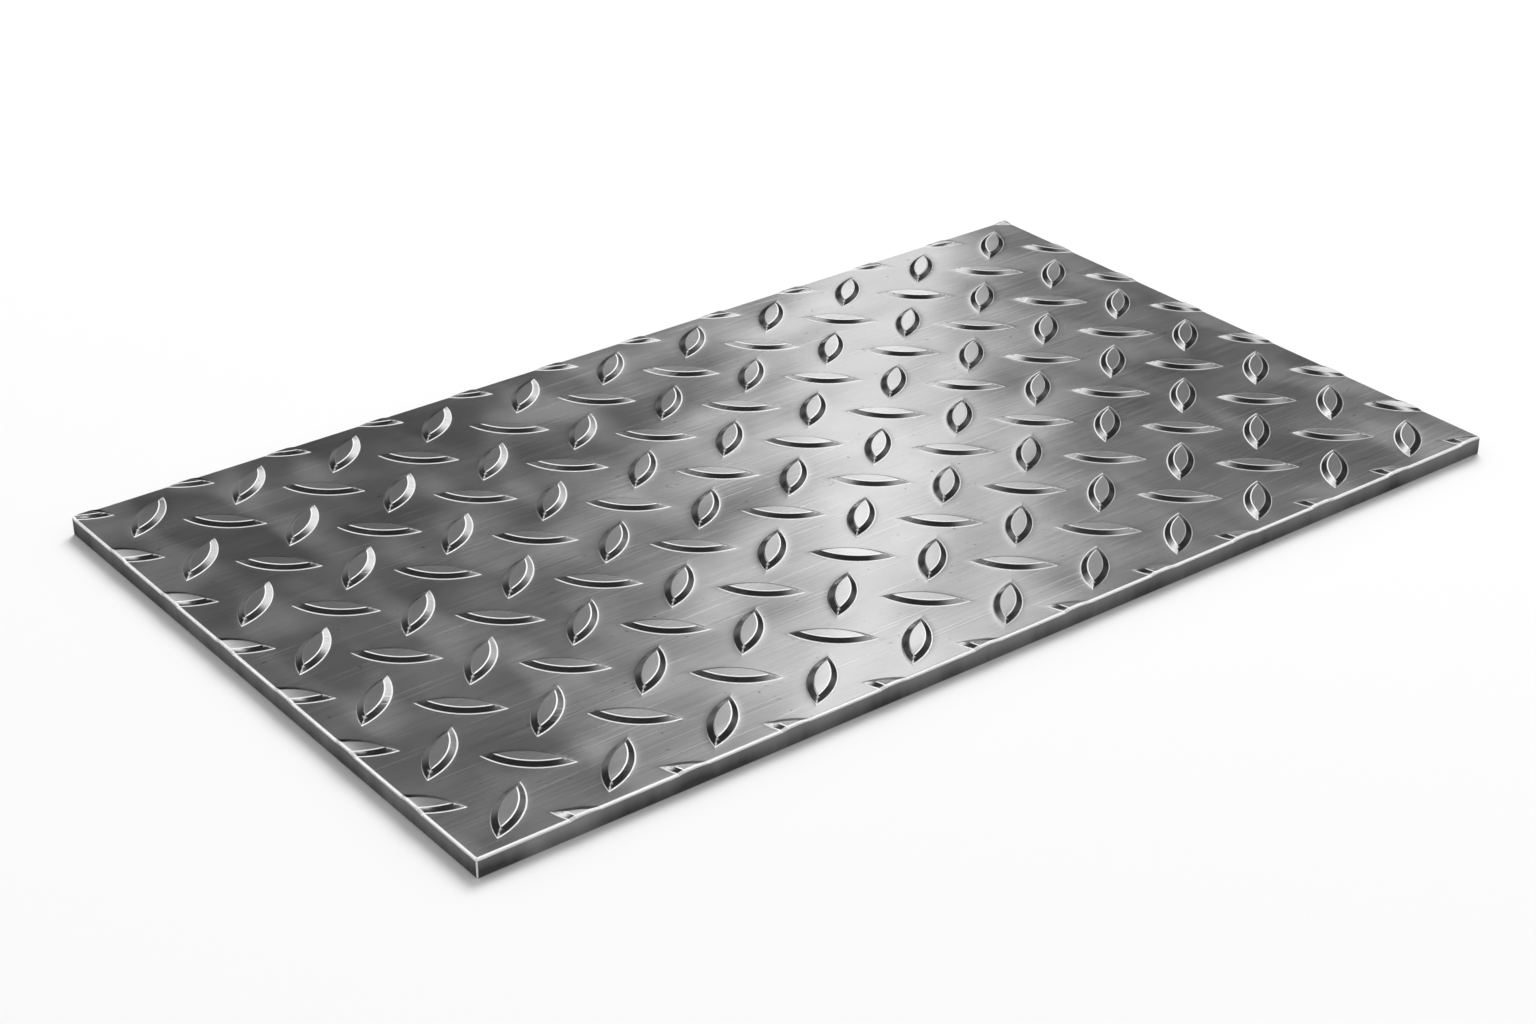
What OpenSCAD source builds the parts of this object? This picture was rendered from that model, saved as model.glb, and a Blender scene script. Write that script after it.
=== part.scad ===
// Checker plate: one flat piece of rolled steel with raised lens-shaped lugs on its upper face.
// The origin is at the middle of the underside, +X runs along the length and +Z is up.
// All sizes are in millimetres.

/* [Plate] */
// Length of the plate, along X
plate_l = 500; // [250:5:1000]
// Width of the plate, along Y
plate_w = 300; // [150:5:600]
// Thickness of the plate under the lugs
plate_t = 8; // [3:0.5:12]
// Broken corner along each edge of the plate
arris = 1; // [0.2:0.1:1.2]

/* [Lugs] */
// Length of a lug at its foot, from tip to tip
lug_l = 34; // [20:0.5:42]
// Width of a lug at its foot, across the middle
lug_w = 11; // [8:0.5:16]
// Height of a lug above the plate
lug_h = 1.4; // [0.8:0.1:2.5]
// How far the side of a lug leans in between its foot and its flat top
lug_lean = 2.6; // [1:0.1:3.5]
// Angle between a lug and the length of the plate
lug_angle = 44; // [30:1:60]

/* [Pattern] */
// Step of the pattern along the length
pitch_x = 45; // [36:0.1:60]
// Step of the pattern across the width
pitch_y = 43.8; // [36:0.1:60]
// From the left end of the plate to the middle of the first rising lug
first_x = 24.4; // [0:0.1:60]
// From the near side of the plate to the middle of the first rising lug
first_y = 17.8; // [0:0.1:60]

/* [Hidden] */

steel = [0.52, 0.53, 0.54];
// How deep a lug is rooted in the plate, so that the two join solidly
root_d = 1;
// Smoothness of the lugs' curved sides
lug_fn = 120;

// A lug is what two leaning round drums have in common. Their centres stand lug_offset to
// either side of the lug's own centre line, and drum_r is their radius where the plate begins.
drum_r = (pow(lug_l / 2, 2) + pow(lug_w / 2, 2)) / lug_w;
lug_offset = drum_r - lug_w / 2;
lean_per_mm = lug_lean / lug_h;

// Rectangle about the origin with its four corners cut off at 45 degrees
module broken_rectangle(w, h, cut) {
    polygon([
        [-w / 2 + cut, -h / 2],
        [w / 2 - cut, -h / 2],
        [w / 2, -h / 2 + cut],
        [w / 2, h / 2 - cut],
        [w / 2 - cut, h / 2],
        [-w / 2 + cut, h / 2],
        [-w / 2, h / 2 - cut],
        [-w / 2, -h / 2 + cut],
    ]);
}

// The flat plate, with every edge broken
module flat_plate() {
    intersection() {
        translate([0, 0, plate_t / 2])
            rotate([90, 0, 0])
                linear_extrude(plate_w, center = true)
                    broken_rectangle(plate_l, plate_t, arris);
        translate([0, 0, plate_t / 2])
            rotate([90, 0, 90])
                linear_extrude(plate_l, center = true)
                    broken_rectangle(plate_w, plate_t, arris);
        linear_extrude(plate_t)
            broken_rectangle(plate_l, plate_w, arris);
    }
}

// One drum with a leaning side, from the root of a lug up to its top
module leaning_drum() {
    translate([0, 0, -root_d])
        cylinder(
            h = root_d + lug_h,
            r1 = drum_r + root_d * lean_per_mm,
            r2 = drum_r - lug_lean,
            $fn = lug_fn
        );
}

// One lug along X, with its foot at height 0
module lug() {
    intersection() {
        translate([0, lug_offset, 0]) leaning_drum();
        translate([0, -lug_offset, 0]) leaning_drum();
    }
}

// Whether the centre line of a lug at x, y crosses the plate. A lug that only its side would
// bring onto the plate is not there.
function crosses_plate(x, y, angle) =
    let (
        along_x = [-x, plate_l - x] / cos(angle),
        along_y = [-y, plate_w - y] / sin(angle),
        from = max(-lug_l / 2, min(along_x), min(along_y)),
        to = min(lug_l / 2, max(along_x), max(along_y))
    )
    from < to;

// Rows and columns of lugs, all turned by the same angle. x_start and y_start are the centre of
// the first lug, measured from the corner at the left and near.
module lug_field(x_start, y_start, angle) {
    for (
        column = [floor(-x_start / pitch_x) : ceil(plate_l / pitch_x)],
        row = [floor(-y_start / pitch_y) : ceil(plate_w / pitch_y)]
    ) {
        x = x_start + column * pitch_x;
        y = y_start + row * pitch_y;
        if (crosses_plate(x, y, angle))
            translate([x - plate_l / 2, y - plate_w / 2, plate_t])
                rotate([0, 0, angle])
                    lug();
    }
}

// Both sets of lugs, cut through where the plate was cut
module lugs() {
    intersection() {
        union() {
            lug_field(first_x, first_y, lug_angle);
            lug_field(first_x + pitch_x / 2, first_y + pitch_y / 2, -lug_angle);
        }
        translate([0, 0, plate_t - root_d])
            linear_extrude(root_d + lug_h)
                square([plate_l - 2 * arris, plate_w - 2 * arris], center = true);
    }
}

module checker_plate() {
    color(steel)
        union() {
            flat_plate();
            lugs();
        }
}

checker_plate();
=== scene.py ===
import math

import bpy
import numpy as np
from mathutils import Matrix, Vector
from mathutils.geometry import delaunay_2d_cdt


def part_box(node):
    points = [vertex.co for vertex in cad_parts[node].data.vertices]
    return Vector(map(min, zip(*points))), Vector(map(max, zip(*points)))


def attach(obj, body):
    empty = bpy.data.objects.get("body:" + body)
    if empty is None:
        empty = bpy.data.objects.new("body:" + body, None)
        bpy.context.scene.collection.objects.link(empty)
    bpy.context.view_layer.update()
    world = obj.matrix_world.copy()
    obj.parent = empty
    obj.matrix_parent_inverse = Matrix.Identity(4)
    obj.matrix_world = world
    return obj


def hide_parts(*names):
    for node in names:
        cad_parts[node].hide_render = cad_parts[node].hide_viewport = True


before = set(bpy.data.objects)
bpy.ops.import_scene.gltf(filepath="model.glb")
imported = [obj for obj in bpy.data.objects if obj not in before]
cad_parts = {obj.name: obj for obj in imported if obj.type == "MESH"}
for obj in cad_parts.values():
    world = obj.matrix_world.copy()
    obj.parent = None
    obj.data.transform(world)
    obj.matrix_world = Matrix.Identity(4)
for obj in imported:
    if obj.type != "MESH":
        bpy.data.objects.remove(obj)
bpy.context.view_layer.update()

# the plate's rolled face, in millimetres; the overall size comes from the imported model
plate = {
    "name": "checker_plate_rolled",
    "arris": 1.0,               # radius worn onto the upper edges and the upright corners
    "underArris": 0.6,          # radius on the lower edges
    "wornDrop": 0.15,           # from the worn edge down to where the flat side begins
    "cornerHalf": 0.6,          # how far round an upright corner its painted highlight line reaches
    "cornerHighlight": 0.5,          # mark of that painted highlight line, where the upper edge has up to 1
    "lugLength": 34.0,          # tip to tip at the foot
    "lugWidth": 11.0,
    "lugHeight": 1.4,
    "lugLean": 2.6,             # how far a lug's side runs in on its way up
    "lugAngle": 44.0,           # degrees from the length of the plate
    "patternStep": (45.0, 43.8),
    "firstLug": (24.4, 17.8),   # from the left end and the near side to the first rising lug
    "footRound": 0.32,          # half the width of the hollow round the foot of a lug
    "rimRound": 0.30,           # half the width of the rounded rim of a lug's flat top
    "dishReach": 3.4,           # how far out of its foot a lug has drawn the plate up
    "dishSlope": 0.03,          # slope of the plate where it meets the foot
    "edgeKeep": 0.35,           # share of its height that a cut lug keeps where it was sheared through
    "edgeReach": 15.0,          # how far in from the cut the shears dragged it down
    "lineHalf": 0.30,           # half the width of the painted highlight line along a rim or a foot
    "ridgeHalf": 0.16,          # the same along the ridge that runs up to a lug's top from its tip
    "lineSteepness": 2.6,       # how sharply the lines end
    "turnPlace": 250.0,         # from the left end, at the near side, where the painted highlight lines on the rising lugs go from their near side to their far side; how far that place moves right for each mm of depth, and over how much the change is made
    "turnSlant": 0.57,          # rising lugs go from their near side to their far side; how far that place
    "turnReach": 90.0,          # moves right for each mm of depth, and over how much the change is made
    "faintLine": 0.12,          # what is left of a painted highlight line on the side that is turned away
    "fallingLine": 0.6,         # what is left of the falling lugs' painted highlight lines past the turn
    "brightRidge": 0.85,        # painted highlight on the ridge at the tip that catches the light
    "faintRidge": 0.2,          # and at the other tip
    "markFade": 0.3,            # over how much a side, a top or a line fades in
    "markOver": 0.1,            # how far the marks of a side run past its foot and its rim
    "stepsAlongLug": 20,
    "tipCrowding": 1.6,         # above 1 the steps are finer towards the tips
    "stepAlongEdge": 6.0,
    "cornerSteps": 6,
    "gridUnderneath": 25.0,
    "cornerNudge": 0.03,        # share of the way into its triangle at which a corner's slope is read
}


def log(stage):
    print("[plate]", stage)


low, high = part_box("checker_plate")
mm = 1000.0
length = (high.x - low.x) * mm
width = (high.y - low.y) * mm
faceHeight = (high.z - low.z) * mm - plate["lugHeight"]
leftEnd, nearSide = low.x * mm, low.y * mm

# a lug is what two round drums have in common
drumRadius = (plate["lugLength"] ** 2 + plate["lugWidth"] ** 2) / (4 * plate["lugWidth"])
drumOffset = drumRadius - plate["lugWidth"] / 2
stepX, stepY = plate["patternStep"]
noLug = -99.0       # inset that stands for no lug near


def crossesPlate(x, y, angle):
    # a lug is there only where its centre line crosses the plate
    half = plate["lugLength"] / 2
    dx, dy = math.cos(angle), math.sin(angle)
    alongX = sorted((-x / dx, (length - x) / dx))
    alongY = sorted((-y / dy, (width - y) / dy))
    return max(-half, alongX[0], alongY[0]) < min(half, alongX[1], alongY[1])


class LugSet:
    # one of the two crossed sets of lugs; places are measured from the left end and the near side
    def __init__(self, firstX, firstY, angle):
        self.firstX, self.firstY, self.angle = firstX, firstY, angle
        self.cos, self.sin = math.cos(angle), math.sin(angle)
        spare = 4       # for the lugs that only reach over the edges
        self.columns = int(length / stepX) + spare
        self.rows = int(width / stepY) + spare
        self.here = np.zeros((self.columns, self.rows), bool)
        for i in range(self.columns):
            for j in range(self.rows):
                x, y = self.centre(i, j)
                self.here[i, j] = crossesPlate(x, y, angle)

    def centre(self, i, j):
        return self.firstX + (i - 1) * stepX, self.firstY + (j - 1) * stepY

    def centres(self):
        return [self.centre(i, j) for i, j in zip(*np.nonzero(self.here))]

    def nearest(self, x, y):
        # places along and across the nearest lug, and whether that lug is there
        i = np.clip(np.rint((x - self.firstX) / stepX).astype(int) + 1, 0, self.columns - 1)
        j = np.clip(np.rint((y - self.firstY) / stepY).astype(int) + 1, 0, self.rows - 1)
        cx, cy = self.centre(i, j)
        along = (x - cx) * self.cos + (y - cy) * self.sin
        across = (y - cy) * self.cos - (x - cx) * self.sin
        return along, across, self.here[i, j]

    def inset(self, x, y):
        # how far each point lies inside the foot of the nearest lug, and the way inwards
        along, across, here = self.nearest(x, y)
        side = np.where(across >= 0, 1.0, -1.0)
        reach = np.hypot(along, across + side * drumOffset)
        inside = np.where(here, drumRadius - reach, noLug)
        inAlong = -along / reach
        inAcross = -(across + side * drumOffset) / reach
        return inside, inAlong * self.cos - inAcross * self.sin, inAlong * self.sin + inAcross * self.cos


turn = math.radians(plate["lugAngle"])
firstX, firstY = plate["firstLug"]
lugSets = [
    LugSet(firstX, firstY, turn),
    LugSet(firstX + stepX / 2, firstY + stepY / 2, -turn),
]


def softRamp(s, half):
    # 0 below -half, s above half, and a smooth bend between; its slope comes with it
    bend = np.clip(s + half, 0, 2 * half)
    return bend ** 2 / (4 * half) + np.maximum(s - half, 0), bend / (2 * half)


def edgeInset(x, y):
    # distance in from the rounded outline of the plate, and the way inwards
    r = plate["arris"]
    qx = np.abs(x - length / 2) - (length / 2 - r)
    qy = np.abs(y - width / 2) - (width / 2 - r)
    sx, sy = np.where(x < length / 2, 1.0, -1.0), np.where(y < width / 2, 1.0, -1.0)
    corner = (qx > 0) & (qy > 0)
    far = np.maximum(np.hypot(qx, qy), 1e-9)
    inset = np.where(corner, r - far, r - np.maximum(qx, qy))
    inX = np.where(corner, sx * qx / far, np.where(qx >= qy, sx, 0.0))
    inY = np.where(corner, sy * qy / far, np.where(qx >= qy, 0.0, sy))
    return inset, inX, inY


def rolledFace(x, y):
    # height of the upper face over the plan, and its slopes
    rise = plate["lugHeight"] / plate["lugLean"]
    lug, gx, gy = np.zeros(x.shape), np.zeros(x.shape), np.zeros(x.shape)
    reach, dish = plate["dishReach"], plate["dishSlope"]
    for lugs in lugSets:
        s, inX, inY = lugs.inset(x, y)
        foot, footSlope = softRamp(s, plate["footRound"])
        rim, rimSlope = softRamp(s - plate["lugLean"], plate["rimRound"])
        drawn = np.clip(1 + s / reach, 0, 1) * (s < plate["footRound"])
        slope = rise * (footSlope - rimSlope) + dish * drawn ** 2 * (1 - footSlope)
        lug = lug + rise * (foot - rim)
        gx = gx + slope * inX
        gy = gy + slope * inY

    # a lug that was sheared through falls away towards the cut
    inset, inX, inY = edgeInset(x, y)
    t = np.clip(inset / plate["edgeReach"], 0, 1)
    lost = 1 - plate["edgeKeep"]
    keep = 1 - lost * (1 - t) ** 2
    keepSlope = 2 * lost * (1 - t) / plate["edgeReach"]
    gx = gx * keep + lug * keepSlope * inX
    gy = gy * keep + lug * keepSlope * inY
    z = faceHeight + lug * keep

    r = plate["arris"]
    steepest = 0.9995       # sine of the slope at the very edge, where it would be upright
    sine = np.clip(1 - inset / r, 0, steepest)
    cosine = np.sqrt(1 - sine ** 2)
    worn = inset < r
    z = z - np.where(worn, r - r * np.where(inset <= 0, 0.0, cosine), 0.0)
    gx = gx + np.where(worn, sine / cosine, 0.0) * inX
    gy = gy + np.where(worn, sine / cosine, 0.0) * inY
    return z, gx, gy


def band(value, half):
    # 1 near zero, falling to 0 by the half width given
    steepness = plate["lineSteepness"]
    return np.clip(steepness - steepness * np.abs(value) / half, 0, 1)


def lugMarks(x, y):
    # what the steel shows on a lug: its side, its top, the painted highlight lines, and the painted shade
    # on the far side of a falling lug
    lean, half, fade, over = plate["lugLean"], plate["lineHalf"], plate["markFade"], plate["markOver"]
    marks = {name: np.zeros(x.shape) for name in ("lugSide", "lugTop", "lugRimHighlight", "lugRearShade")}
    # painted highlights: which side of a lug gets the bright lines changes across the plate
    leftward = np.clip(0.5 + (plate["turnPlace"] - x + plate["turnSlant"] * y) / plate["turnReach"], 0, 1)
    for lugs in lugSets:
        along, across, _ = lugs.nearest(x, y)
        s, _, inY = lugs.inset(x, y)
        near = np.clip(inY / fade, 0, 1)
        far = np.clip(-inY / fade, 0, 1)
        rising = lugs.angle > 0
        if rising:
            lit = near * leftward + far * (1 - leftward)
        else:
            lit = near * (plate["fallingLine"] + (1 - plate["fallingLine"]) * leftward)
        besideTip = np.clip(np.abs(across) / fade, 0, 1)
        lines = np.maximum(band(s - lean, half) * besideTip, band(s, half))
        lines = lines * np.maximum(lit, plate["faintLine"])
        ridge = band(across, plate["ridgeHalf"]) * (s > -over / 2) * (s < lean)
        ridge = ridge * np.where((along < 0) == rising, plate["brightRidge"], plate["faintRidge"])
        underRim = lean + over - s
        # painted shade on the far side of a falling lug
        rearShade = np.clip(np.minimum((s + fade) / fade, underRim / (2 * over)), 0, 1)
        found = {
            "lugSide": np.clip(np.minimum((s + over) / fade, underRim / fade), 0, 1),
            "lugTop": np.clip((s - lean) / fade, 0, 1),
            "lugRimHighlight": np.maximum(lines, ridge),
            "lugRearShade": rearShade * far * (not rising),
        }
        for name, values in found.items():
            marks[name] = np.maximum(marks[name], values)
    return marks


# the mesh: rings round every lug and lines round the edge, joined by triangles
def lugRing(cx, cy, angle, s):
    # closed line round a lug, s inside its foot
    radius = drumRadius - s
    half = math.asin(math.sqrt(max(radius ** 2 - drumOffset ** 2, 0.0)) / radius)
    steps, crowding = plate["stepsAlongLug"], plate["tipCrowding"]
    ring = []
    for side in (1, -1):
        for k in range(steps):
            share = 2 * k / steps - 1
            share = math.copysign(1 - (1 - abs(share)) ** crowding, share)
            a = side * half * share
            ring.append((radius * math.sin(a), side * (radius * math.cos(a) - drumOffset)))
    cosine, sine = math.cos(angle), math.sin(angle)
    return [(cx + u * cosine - v * sine, cy + u * sine + v * cosine) for u, v in ring]


def outline(inset, step):
    # closed line round the plate, inset from its edge, with its corners rounded
    r = max(plate["arris"] - inset, 0.0)
    deep = max(inset - plate["arris"], 0.0)   # past the corner's own radius the line stays square
    points = []
    cornerSteps = plate["cornerSteps"]
    corners = [(0, 0, 180), (length, 0, 270), (length, width, 0), (0, width, 90)]
    for k, (px, py, start) in enumerate(corners):
        ax = px + (plate["arris"] + deep) * (1 if px == 0 else -1)
        ay = py + (plate["arris"] + deep) * (1 if py == 0 else -1)
        for m in range(cornerSteps + 1 if r > 1e-6 else 1):
            a = math.radians(start + 90 * m / cornerSteps)
            points.append((ax + r * math.cos(a), ay + r * math.sin(a)))
        run = (length if k % 2 == 0 else width) - 2 * (plate["arris"] + deep)
        count = round(run / step)
        dx, dy = ((1, 0), (0, 1), (-1, 0), (0, -1))[k]
        sx = ax + r * (0, 1, 0, -1)[k]
        sy = ay + r * (-1, 0, 1, 0)[k]
        for m in range(1, count):
            points.append((sx + dx * run * m / count, sy + dy * run * m / count))
    return points


def spacedLines():
    # every line that the upper face's mesh has to follow
    arrisAngles = (0, 18, 36, 54, 72, 90)
    arris = plate["arris"]
    insets = [arris * (1 - math.sin(math.radians(a))) for a in arrisAngles]
    insets += [arris + (plate["edgeReach"] - arris) * k / 5 for k in (1, 2, 3, 4, 5)]
    lines = [outline(inset, plate["stepAlongEdge"]) for inset in insets]
    foot, rim, lean = plate["footRound"], plate["rimRound"], plate["lugLean"]
    outside = [-plate["dishReach"] * share for share in (0.95, 0.6, 0.3)]
    bend = 0.65         # share of a rounding at which its inner rings lie
    levels = outside + [-foot, -bend * foot, bend * foot, foot, lean / 2]
    levels += [lean - rim, lean - bend * rim, lean + bend * rim, lean + rim]
    for lugs in lugSets:
        for cx, cy in lugs.centres():
            rings = [lugRing(cx, cy, lugs.angle, s) for s in levels]
            lines += rings
            onLug = rings[len(outside):]
            for tip in (0, plate["stepsAlongLug"]):   # the ridge between the two sides, ring to ring
                lines += [[lower[tip], upper[tip]] for lower, upper in zip(onLug, onLug[1:])]
    return lines


def triangulate(lines, loose=()):
    # lines are closed, and one of two points is a single edge
    points, edges = [], []
    for line in lines:
        first = len(points)
        points += [Vector(p) for p in line]
        edges += [(first + k, first + (k + 1) % len(line)) for k in range(len(line))]
    points += [Vector(p) for p in loose]
    made = delaunay_2d_cdt(points, edges, [], 0, 1e-5)
    return np.array([tuple(p) for p in made[0]]), np.array([tuple(f) for f in made[2]])


def facing(flat, faces, way):
    # the triangles all turned to face up, or down where way is -1
    area = np.cross(flat[faces[:, 1]] - flat[faces[:, 0]], flat[faces[:, 2]] - flat[faces[:, 0]])
    return np.where((area * way < 0)[:, None], faces[:, ::-1], faces)


def boundaryLoop(faces):
    # the open edge of a triangle mesh, as vertex numbers in order
    follow = {}
    seen = set()
    for a, b, c in faces.tolist():
        for edge in ((a, b), (b, c), (c, a)):
            seen.add(edge)
    for a, b in seen:
        if (b, a) not in seen:
            follow[a] = b
    start = min(follow)
    loop = [start]
    while follow[loop[-1]] != start:
        loop.append(follow[loop[-1]])
    return np.array(loop)


def upperFace():
    # plan of the upper face, without the triangles outside the rounded corners
    flat, faces = triangulate(spacedLines())
    middle = flat[faces].mean(axis=1)
    inset, _, _ = edgeInset(middle[:, 0], middle[:, 1])
    faces = facing(flat, faces[inset > 1e-4], 1)
    used = np.unique(faces)
    number = np.full(len(flat), -1)
    number[used] = np.arange(len(used))
    flat, faces = flat[used], number[faces]
    log(f"upper face: {len(flat)} points, {len(faces)} triangles")
    return flat, faces


def upperNormals(flat, faces):
    # corner normals from the shape itself, each taken a little way into its own triangle
    middle = flat[faces].mean(axis=1)
    cornerAt = flat[faces] + plate["cornerNudge"] * (middle[:, None, :] - flat[faces])
    _, gx, gy = rolledFace(cornerAt[..., 0].ravel(), cornerAt[..., 1].ravel())
    return np.column_stack([-gx, -gy, np.ones(len(gx))])


def sides(lx, ly, inX, inY, topEdge, loop, count):
    # the open edge of the upper face, carried down in rings round the lower edge to the underside
    r = plate["underArris"]
    levels = [(0.0, topEdge - plate["wornDrop"], 0.0), (0.0, r, 0.0)] + [
        (r * (1 - math.cos(math.radians(a))), r * (1 - math.sin(math.radians(a))), math.radians(a))
        for a in (22.5, 45, 67.5, 90)
    ]
    n = len(loop)
    numbers = [loop]
    points = []
    normals = [np.column_stack([-inX, -inY, np.zeros(n)])]
    for inset, level, a in levels:
        numbers.append(count + np.arange(n))
        points.append(np.column_stack([lx + inX * inset, ly + inY * inset, np.zeros(n) + level]))
        normals.append(np.column_stack([-inX * math.cos(a), -inY * math.cos(a), np.full(n, -math.sin(a))]))
        count += n
    walls, corners = [], []
    for above, below, upper, lower in zip(numbers, numbers[1:], normals, normals[1:]):
        for k in range(n):
            m = (k + 1) % n
            walls.append((above[k], below[k], below[m], above[m]))
            corners += [upper[k], lower[k], lower[m], upper[m]]
    return np.vstack(points), walls, np.array(corners), count


def underside(rim):
    # the last ring, filled over a coarse grid
    step = plate["gridUnderneath"]
    grid = [(x, y) for x in np.arange(step / 2, length, step) for y in np.arange(step / 2, width, step)]
    flat, faces = triangulate([rim], grid)
    return flat, facing(flat, faces, -1)


def buildPlate():
    flat, faces = upperFace()
    x, y = flat[:, 0], flat[:, 1]
    z, _, _ = rolledFace(x, y)
    loop = boundaryLoop(faces)
    lx, ly = x[loop], y[loop]
    _, inX, inY = edgeInset(lx, ly)
    sidePoints, walls, wallNormals, count = sides(lx, ly, inX, inY, z[loop], loop, len(flat))
    r = plate["underArris"]
    rim = [(lx[k] + inX[k] * r, ly[k] + inY[k] * r) for k in range(len(loop))]
    underFlat, underFaces = underside(rim)

    co = np.vstack([
        np.column_stack([x, y, z]), sidePoints, np.column_stack([underFlat, np.zeros(len(underFlat))])])
    polygons = [tuple(f) for f in faces.tolist()] + [tuple(int(i) for i in w) for w in walls]
    polygons += [tuple(int(i) + count for i in f) for f in underFaces.tolist()]
    mesh = bpy.data.meshes.new(plate["name"])
    places = (co + np.array([leftEnd, nearSide, 0.0])) / mm + np.array([0, 0, low.z])
    mesh.from_pydata(places.tolist(), [], polygons)

    down = np.tile([0.0, 0.0, -1.0], (3 * len(underFaces), 1))
    normals = np.vstack([upperNormals(flat, faces), wallNormals, down])
    normals /= np.linalg.norm(normals, axis=1)[:, None]
    mesh.polygons.foreach_set("use_smooth", [True] * len(mesh.polygons))
    mesh.normals_split_custom_set(normals.tolist())

    # masks that the steel reads
    rest = len(co) - len(flat)
    masks = {name: np.concatenate([values, np.zeros(rest)]) for name, values in lugMarks(x, y).items()}
    masks["wornEdgeAndHighlight"] = np.zeros(len(co))
    masks["cutSide"] = np.zeros(len(co))
    inset, _, _ = edgeInset(x, y)
    # painted highlight lines down the upright corners
    upright = band(np.abs(inX) - np.abs(inY), plate["cornerHalf"]) * plate["cornerHighlight"]
    # the upper edges: real wear, made white enough to stand as their painted highlight too
    masks["wornEdgeAndHighlight"][:len(flat)] = np.sqrt(np.clip(1 - inset / plate["arris"], 0, 1))
    masks["wornEdgeAndHighlight"][len(flat):count] = np.tile(upright, (count - len(flat)) // len(loop))
    masks["cutSide"][len(flat):count] = 1.0
    for name, values in masks.items():
        layer = mesh.attributes.new(name, "FLOAT", "POINT")
        layer.data.foreach_set("value", values)
    mesh.validate()
    piece = bpy.data.objects.new(plate["name"], mesh)
    bpy.context.scene.collection.objects.link(piece)
    triangles = sum(len(p.vertices) - 2 for p in mesh.polygons)
    log(f"whole plate: {len(co)} points, {triangles} triangles")
    return piece


# shader maths written as Python expressions
class Wire:
    def __init__(self, tree, socket):
        self.tree, self.socket = tree, socket

    def maths(self, operation, a, b=None):
        sockets = {0: a} if b is None else {0: a, 1: b}
        return addNode(self.tree, "ShaderNodeMath", {"operation": operation}, sockets)

    def __add__(self, other):
        return self.maths("ADD", self, other)

    def __radd__(self, other):
        return self.maths("ADD", other, self)

    def __sub__(self, other):
        return self.maths("SUBTRACT", self, other)

    def __rsub__(self, other):
        return self.maths("SUBTRACT", other, self)

    def __mul__(self, other):
        return self.maths("MULTIPLY", self, other)

    def __rmul__(self, other):
        return self.maths("MULTIPLY", other, self)

    def __abs__(self):
        return self.maths("ABSOLUTE", self)

    def smooth(self, start, end):
        # 0 at start, 1 at end, and an even curve between
        settings = {"interpolation_type": "SMOOTHSTEP"}
        sockets = {"Value": self, "From Min": start, "From Max": end, "To Min": 0.0, "To Max": 1.0}
        return addNode(self.tree, "ShaderNodeMapRange", settings, sockets)


def addNode(tree, kind, settings, sockets, output=0):
    # settings first, then the values or links of the sockets
    node = tree.nodes.new(kind)
    for name, value in settings.items():
        setattr(node, name, value)
    for name, value in sockets.items():
        target = node.inputs[name]
        if isinstance(value, Wire):
            tree.links.new(value.socket, target)
        else:
            target.default_value = value
    return None if output is None else Wire(tree, node.outputs[output])


def mixColour(factor, a, b):
    return addNode(factor.tree, "ShaderNodeMix", {"data_type": "RGBA"}, {0: factor, 6: a, 7: b}, 2)


def grey(level):
    return (level, level, level, 1.0)


def newMaterial(name):
    material = bpy.data.materials.new(name)
    material.use_nodes = True
    material.node_tree.nodes.clear()
    return material


def giveSurface(material, sockets):
    tree = material.node_tree
    surface = addNode(tree, "ShaderNodeBsdfPrincipled", {}, sockets)
    addNode(tree, "ShaderNodeOutputMaterial", {}, {"Surface": surface}, None)


steel = {
    "face": grey(0.66),
    "faceDark": grey(0.44),
    "top": grey(0.66),           # the flat tops of the lugs
    # white of bright wear on the scratches, also the colour of the painted highlights on the edges and lug
    # lines
    "worn": grey(1.0),
    "speck": grey(0.15),
    "rearShade": grey(0.10),          # painted shade on the far sides of the falling lugs
    "cut": grey(0.10),           # dark tone of a sheared side, taken low down as painted shade
    "cutBright": grey(0.53),     # the lighter tone higher up, clear of the painted shade, and in the streaks
    "faceRoughness": 0.19,
    "lugRoughness": 0.15,
    "cutRoughness": 0.40,
    "cloudRoughness": 0.10,      # how much rougher the clouds make the steel, and the grain
    "grainRoughness": 0.08,
    "cloudShare": 0.6,           # of the clouds in the tone of the face, beside the grain
    "scratchShare": 0.22,
    "speckShare": 0.6,
    "topShare": 0.7,
    "cutHeights": (0.0003, 0.0078),   # m; between them the painted shade on a sheared side fades out going up
    "cutShares": (0.7, 0.3, 0.9),     # of the painted shade by height, of the torn streaks and of the patches
    "faceSheen": 0.13,           # how far the cloudy patches of the face scatter light like a matt surface
    "topSheen": 0.05,            # the same on the tops of the lugs
    "edgeHighlightSheen": 0.70,           # matt white share on the worn edge, which paints its highlight line
    "rimHighlightSheen": 0.90,            # matt white share of the painted highlight lines along the rims, feet and ridges of the lugs
    "waveDepth": 0.0016,         # m; the slow waves of the face
    "reliefDepth": 0.00003,      # m; the grain and the scratches
    "reliefStrength": 0.3,
    "relief": (0.6, 0.9),        # share of the grain and of the scratches in it
}

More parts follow.
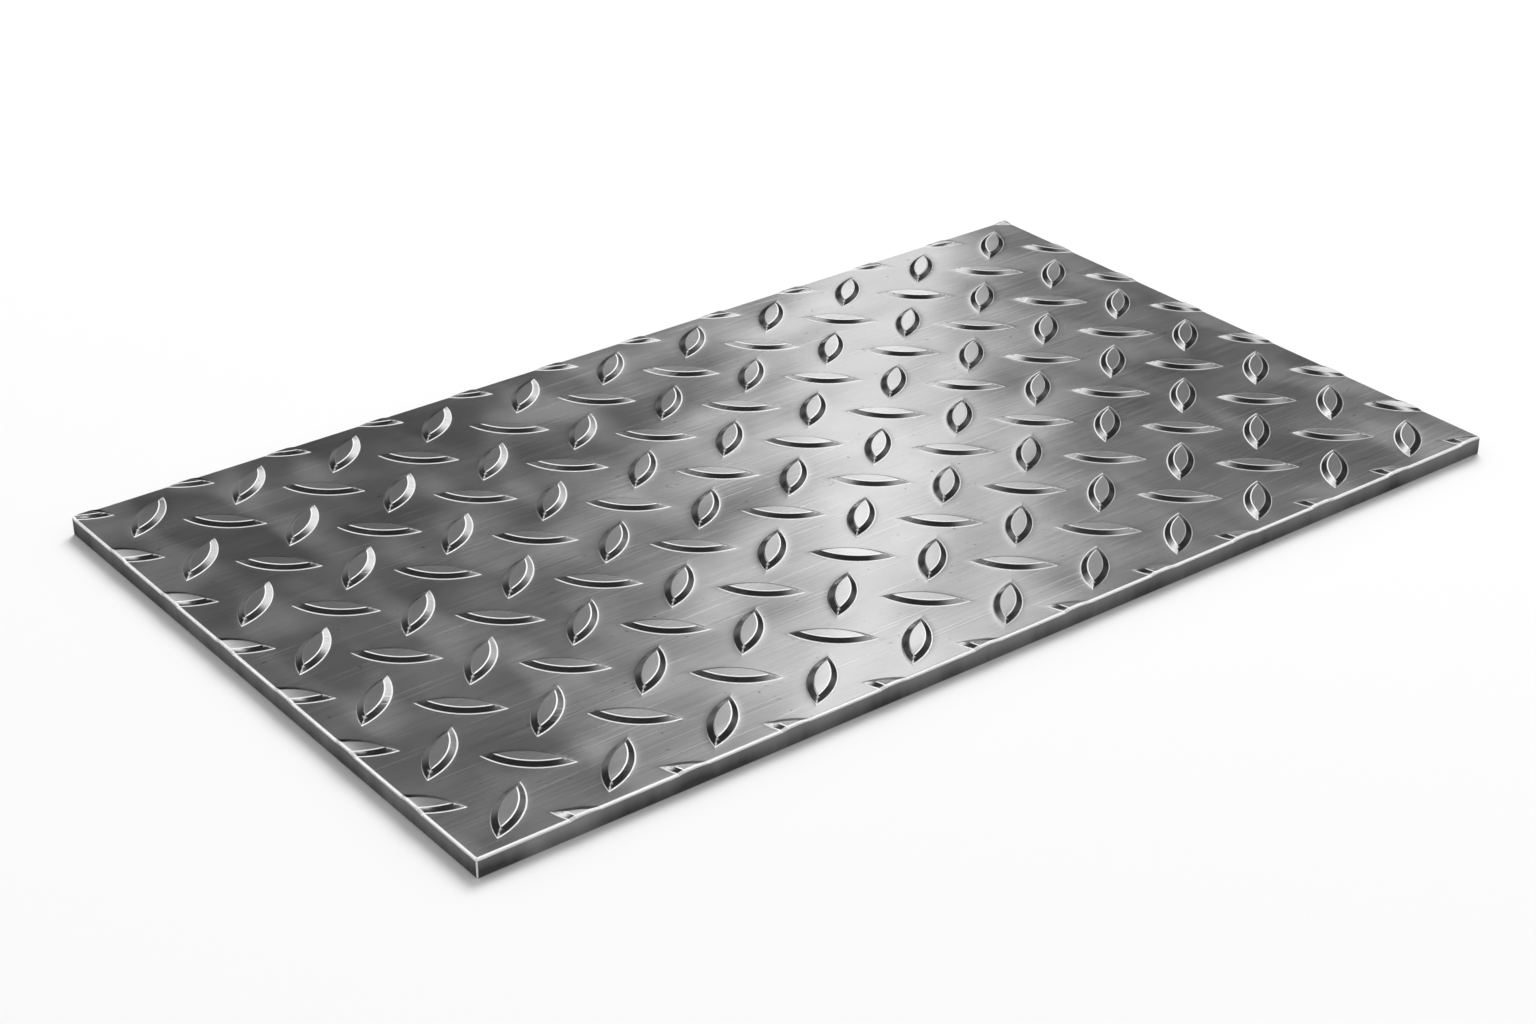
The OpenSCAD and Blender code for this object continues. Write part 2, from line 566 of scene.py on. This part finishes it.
# noises in the steel: stretch along x, y and z, degrees turned, scale, detail and roughness
steelNoises = {
    "clouds": ((1, 1, 1), 0, 24.0, 2.0, 0.45),
    "patches": ((1.4, 0.8, 1), 20, 26.0, 1.0, 0.4),
    "waves": ((0.8, 1.3, 1), 20, 14.0, 1.0, 0.4),
    "grain": ((24, 1300, 300), 3, 1.0, 3.0, 0.6),
    "scratches": ((22, 1100, 60), 5, 1.0, 1.0, 0.5),
    "specks": ((1, 1, 1), 0, 420.0, 1.0, 0.5),
    "cutStreaks": ((55, 55, 14), 0, 1.0, 3.0, 0.6),
    "cutPatches": ((24, 24, 10), 0, 1.0, 1.0, 0.5),
}


def rolledSteel():
    material = newMaterial("rolled_steel")
    tree = material.node_tree
    place = addNode(tree, "ShaderNodeTexCoord", {}, {}, "Object")
    height = addNode(tree, "ShaderNodeSeparateXYZ", {}, {0: place}, "Z")

    def noise(name):
        stretch, turned, scale, detail, roughness = steelNoises[name]
        vector = addNode(tree, "ShaderNodeMapping", {}, {
            "Vector": place, "Scale": stretch, "Rotation": (0, 0, math.radians(turned))})
        return addNode(tree, "ShaderNodeTexNoise", {}, {
            "Vector": vector, "Scale": scale, "Detail": detail, "Roughness": roughness})

    def mask(name):
        return addNode(tree, "ShaderNodeAttribute", {"attribute_name": name}, {}, "Fac")

    lugSide, lugTop, lugRimHighlight, lugRearShade, wornEdgeAndHighlight, cutSide = (
        mask(name) for name in ("lugSide", "lugTop", "lugRimHighlight", "lugRearShade", "wornEdgeAndHighlight", "cutSide"))
    clouds, patches, waves, grain, scratches, specks, cutStreaks, cutPatches = (
        noise(name) for name in steelNoises)
    scratches = scratches.smooth(0.62, 0.74)
    edge = wornEdgeAndHighlight.smooth(0.2, 0.5)
    plain = 1 - cutSide

    share = steel["cloudShare"]
    tone = clouds.smooth(0.3, 0.7) * share + grain.smooth(0.2, 0.8) * (1 - share)
    face = mixColour(tone, steel["faceDark"], steel["face"])
    face = mixColour(scratches * steel["scratchShare"], face, steel["worn"])
    face = mixColour(specks.smooth(0.74, 0.8) * steel["speckShare"], face, steel["speck"])
    face = mixColour(lugTop * steel["topShare"], face, steel["top"])
    # painted shade on the far sides of the falling lugs
    face = mixColour(lugRearShade, face, steel["rearShade"])
    # painted highlight lines along the rims, feet and ridges of the lugs
    face = mixColour(lugRimHighlight, face, steel["worn"])
    # painted shade: a sheared side is darker towards its foot
    shadeShare, streaky, patchy = steel["cutShares"]
    cutShading = (height.smooth(*steel["cutHeights"]) * shadeShare + cutStreaks.smooth(0.32, 0.7) * streaky
             + (cutPatches - 0.5) * patchy)
    base = mixColour(cutSide, face, mixColour(cutShading, steel["cut"], steel["cutBright"]))
    # worn edges, white as bright wear and as a painted highlight line
    base = mixColour(edge, base, steel["worn"])

    roughness = (steel["faceRoughness"]
                 + (clouds - 0.5) * steel["cloudRoughness"] + (grain - 0.5) * steel["grainRoughness"]
                 + lugSide * (steel["lugRoughness"] - steel["faceRoughness"])
                 + cutSide * (steel["cutRoughness"] - steel["faceRoughness"]))
    cloudy = patches.smooth(0.46, 0.68) * plain * (1 - lugSide) * steel["faceSheen"]
    # the edges and the lug lines turn matt white here, which paints their highlights
    metal = (1 - edge * steel["edgeHighlightSheen"] - lugRimHighlight * steel["rimHighlightSheen"]
             - cloudy * (1 - lugTop) - lugTop * steel["topSheen"])

    slowWaves = addNode(tree, "ShaderNodeBump", {}, {
        "Strength": 1.0, "Distance": steel["waveDepth"], "Height": waves * plain})
    grainy, scratched = steel["relief"]
    relief = (grain * grainy + scratches * scratched) * plain + cutStreaks * cutSide
    bump = addNode(tree, "ShaderNodeBump", {}, {
        "Strength": steel["reliefStrength"], "Distance": steel["reliefDepth"],
        "Height": relief, "Normal": slowWaves})
    giveSurface(material, {"Base Color": base, "Roughness": roughness, "Metallic": metal, "Normal": bump})
    return material


camera = {
    "aim": (-0.0276, -0.0185, 0.008),   # the point of the upper face at the middle of the view
    "azimuth": -37.58,                  # degrees; 0 looks along +Y
    "elevation": 28.29,                 # degrees down
    "roll": -0.18,
    "distance": 1.1563,
    "lens": 67.57,
    "sensor": 36.0,
    "farthest": 100.0,
}


def makeCamera():
    data = bpy.data.cameras.new("camera")
    data.lens = camera["lens"]
    data.sensor_width = camera["sensor"]
    data.clip_end = camera["farthest"]
    eye = bpy.data.objects.new("camera", data)
    bpy.context.scene.collection.objects.link(eye)
    az, el = math.radians(camera["azimuth"]), math.radians(camera["elevation"])
    look = Vector((-math.sin(az) * math.cos(el), math.cos(az) * math.cos(el), -math.sin(el)))
    eye.location = Vector(camera["aim"]) - look * camera["distance"]
    level = look.to_track_quat("-Z", "Y").to_matrix()
    eye.rotation_euler = (level @ Matrix.Rotation(math.radians(camera["roll"]), 3, "Z")).to_euler()
    bpy.context.scene.camera = eye


studio = {
    "canopySize": 12.0,          # the wide soft light that the floor sees, and its height
    "canopyHeight": 1.3,
    "canopyBrightness": 0.63,
    "backSize": 4.0,             # a second one behind the plate, whose shadow falls towards the camera
    "backPlace": (37, 47, 8.0),  # azimuth, elevation, distance
    "backBrightness": 12.0,
    "ambient": 0.035,            # what the steel reflects where no light stands
    "floorGlow": 0.32,           # added below the horizon
    "glowBegins": (-18, -30),    # degrees; it fades in between them
    "floorSize": 60.0,
    "floorTone": grey(0.8),
    "floorRoughness": 0.6,
    "floorGloss": 0.1,
}

# soft lights seen only in reflections: how bright, the azimuths and elevations that each fills, and
# how softly it ends sideways and upwards; azimuth runs from +X towards +Y, all in degrees; a sixth
# number is how far the elevations rise for each degree of azimuth past the middle of the light
softLights = {
    "field": (0.075, (14, 66), (20, 50), 6, 8),
    "fieldRight": (0.10, (16, 34), (20, 40), 4, 6),
    "fieldNear": (0.20, (36, 46), (28, 40), 4, 3),
    "fieldLeft": (0.10, (54, 66), (30, 42), 4, 5),
    "rimBox": (1.60, (36, 66), (45, 54), 4, 3),
    "upperFlank": (1.35, (23, 46), (14, 25), 3, 3, -1.33),
    "lowGlowMiddle": (0.30, (47, 58), (-20, 14), 4, 4),
    "strip": (1.50, (48.4, 51.8), (20.5, 40), 1.2, 4),
    "stripFoot": (0.50, (48.5, 53.0), (-20, 20), 1.2, 4),
    "skirt": (0.20, (46.8, 55.5), (20, 38), 2.2, 4),
    "skirtHigh": (0.26, (44.5, 54.5), (28.5, 40), 2.5, 2.5),
    "leftField": (0.36, (68, 84), (27, 48), 4, 4),
    "leftFlank": (0.22, (72, 97), (-6, 15), 6, 5),
    "leftSpot": (1.50, (72, 84), (35, 44), 3, 4),
    "leftHigh": (1.60, (84, 101.5), (50, 71), 6, 4),
    "highBox": (1.40, (4, 34), (59, 72), 6, 4),
    "farRight": (0.55, (-30, 3), (60, 76), 6, 6),
    "rightBox": (0.34, (-80, -10), (4, 60), 10, 10),
    "rightStrip": (1.30, (-49, -41), (4, 60), 3, 8),
    "rightHigh": (1.60, (-54, -28), (34, 54), 4, 5),
    "rightFoot": (0.08, (-80, -20), (-60, -12), 8, 6),
    "leftBox": (0.34, (112, 165), (4, 46), 8, 8),
    "leftStrip": (1.30, (121, 132), (4, 46), 3, 6),
    "leftEdge": (1.60, (115, 133), (25, 46), 4, 5),
    "rearGlow": (0.26, (175, 270), (-10, 45), 14, 10),
    "rearStrip": (1.20, (226, 232), (5, 50), 3, 6),
}


def softLight(around, up, brightness, azimuths, elevations, sideways, upwards, slant=0.0):
    # around gives the angle from an azimuth; the light fades by half at the limits given
    middle, half = sum(azimuths) / 2, (azimuths[1] - azimuths[0]) / 2
    centre, tall = sum(elevations) / 2, (elevations[1] - elevations[0]) / 2
    aside = around(middle)
    wide = abs(aside).smooth(half + sideways, half - sideways)
    high = abs(up - centre - aside * slant).smooth(tall + upwards, tall - upwards)
    return wide * high * brightness


def studioWorld():
    world = bpy.data.worlds.new("studio")
    world.use_nodes = True
    tree = world.node_tree
    tree.nodes.clear()
    direction = addNode(tree, "ShaderNodeTexCoord", {}, {}, "Generated")
    x, y, z = (addNode(tree, "ShaderNodeSeparateXYZ", {}, {0: direction}, axis) for axis in "XYZ")
    degree = math.degrees(1)
    up = z.maths("ARCSINE", z) * degree

    def around(azimuth):
        cosine, sine = math.cos(math.radians(azimuth)), math.sin(math.radians(azimuth))
        return x.maths("ARCTAN2", y * cosine - x * sine, x * cosine + y * sine) * degree

    brightness = studio["ambient"] + up.smooth(*studio["glowBegins"]) * studio["floorGlow"]
    for light in softLights.values():
        brightness = brightness + softLight(around, up, *light)
    sky = addNode(tree, "ShaderNodeBackground", {}, {"Color": grey(1.0), "Strength": brightness})
    addNode(tree, "ShaderNodeOutputWorld", {}, {"Surface": sky}, None)
    world.cycles_visibility.diffuse = False
    return world


def compass(azimuth, elevation, distance):
    a, e = math.radians(azimuth), math.radians(elevation)
    return Vector((math.cos(a) * math.cos(e), math.sin(a) * math.cos(e), math.sin(e))) * distance


def floorLight(name, brightness, size, place):
    # a square light that faces the plate and that only matt surfaces see
    data = bpy.data.lights.new(name, "AREA")
    data.shape = "SQUARE"
    data.size = size
    data.energy = brightness * math.pi * size ** 2   # so that brightness is how bright the light looks
    lamp = bpy.data.objects.new(name, data)
    lamp.location = place
    lamp.rotation_euler = (-place).to_track_quat("-Z", "Y").to_euler()
    lamp.visible_glossy = False
    lamp.visible_camera = False
    bpy.context.scene.collection.objects.link(lamp)


def makeStudio():
    bpy.ops.mesh.primitive_plane_add(size=studio["floorSize"], location=(0, 0, 0))
    floor = bpy.context.object
    floor.name = "floor"
    paleFloor = newMaterial("pale_floor")
    giveSurface(paleFloor, {
        "Base Color": studio["floorTone"], "Roughness": studio["floorRoughness"],
        "Specular IOR Level": studio["floorGloss"]})
    floor.data.materials.append(paleFloor)
    floor.visible_glossy = False

    overhead = Vector((0, 0, studio["canopyHeight"]))
    floorLight("canopy", studio["canopyBrightness"], studio["canopySize"], overhead)
    floorLight("backLight", studio["backBrightness"], studio["backSize"], compass(*studio["backPlace"]))

    bpy.context.scene.world = studioWorld()
    view = bpy.context.scene.view_settings
    view.view_transform = "Standard"
    view.look = "None"


makeCamera()
log("camera placed")
piece = buildPlate()
piece.data.materials.append(rolledSteel())
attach(piece, "root")
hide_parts("checker_plate")
log("plate made")
makeStudio()
log("floor and lights placed")
